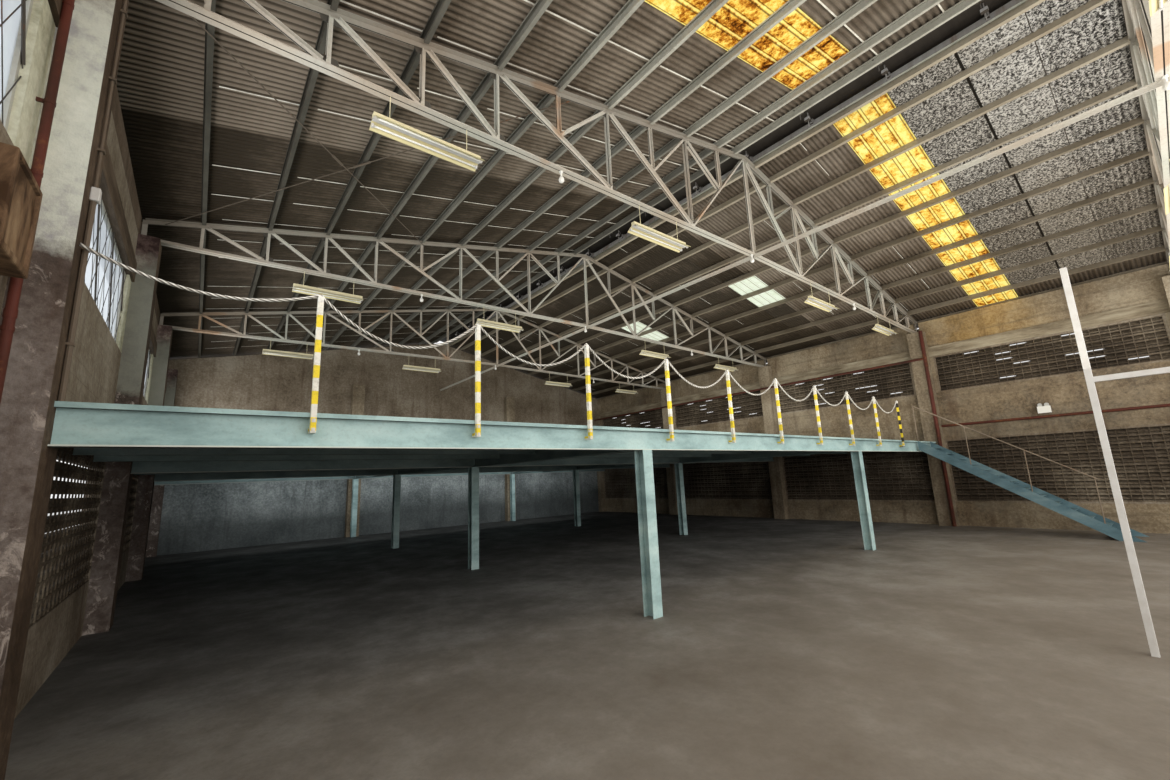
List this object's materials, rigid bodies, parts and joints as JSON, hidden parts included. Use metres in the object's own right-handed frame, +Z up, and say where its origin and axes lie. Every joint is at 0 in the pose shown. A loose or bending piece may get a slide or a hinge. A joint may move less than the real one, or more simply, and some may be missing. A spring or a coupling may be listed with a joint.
{
  "type": "factory building",
  "caption": "Gable-roofed factory hall with concrete frame, block walls with vent blocks, steel roof trusses, translucent roof strips and a steel mezzanine with stair.",
  "frame": {"origin": "centre of the hall's footprint, on the ground under the floor slab, mid way between the end walls", "axes": "+X to the right wall, across the span; +Y to the far gable over the mezzanine; +Z up"},
  "size_m": [22.68, 37.1, 9.8113],
  "materials": {
    "floor_concrete": "trowelled concrete, worn and dusty",
    "concrete": "rough cast concrete, stained",
    "block_wall": "rough plastered block, stained",
    "vent_block": "bare ventilation blocks",
    "window_paint": "weathered paint",
    "glass": "dusty",
    "shutter_steel": "galvanised, dull",
    "truss_paint": "light grey primer, dusty with a little rust",
    "roof_sheet": "weathered ribbed sheet",
    "translucent_sheet": "aged yellow translucent sheet",
    "white_sheet": "newer white translucent sheet",
    "cream_enamel": "aged enamel",
    "blue_grey_paint": "satin paint",
    "yellow_paint": "banded paint",
    "white_rope": "laid rope",
    "dark_red_paint": "primer",
    "white_paint": "gloss paint"
  },
  "bodies": {
    "root": {"floor_slab": "floor_concrete", "left_columns": "concrete", "right_columns": "concrete", "end_columns": "concrete", "left_wall": "block_wall", "right_wall": "block_wall", "low_vent_blocks": "vent_block", "high_vent_blocks": "vent_block", "piers": "block_wall", "window_frames": "window_paint", "window_glass": "glass", "ring_beams": "concrete", "eaves_beams": "concrete", "far_wall": "block_wall", "near_wall": "block_wall", "door_lintel": "block_wall", "gables": "block_wall", "shutter_frame": "shutter_steel", "truss_1": "truss_paint", "truss_2": "truss_paint", "truss_3": "truss_paint", "truss_4": "truss_paint", "truss_5": "truss_paint", "purlins": "truss_paint", "left_roof": "roof_sheet", "right_roof": "roof_sheet", "yellow_skylights": "translucent_sheet", "white_skylights": "white_sheet", "ridge_vent": "roof_sheet", "verge_trims": "roof_sheet", "gutters": "roof_sheet", "chord_tie": "truss_paint", "light_fittings": "cream_enamel", "mezzanine_columns": "blue_grey_paint", "mezzanine_beams": "blue_grey_paint", "mezzanine_girders": "blue_grey_paint", "mezzanine_joists": "blue_grey_paint", "mezzanine_deck": "blue_grey_paint", "stair_stringers": "blue_grey_paint", "stair_treads": "blue_grey_paint", "stair_rail": "blue_grey_paint", "rope_posts": "yellow_paint", "swag_rope": "white_rope", "wall_pipes": "dark_red_paint", "white_frame": "white_paint"}
  },
  "joints": []
}
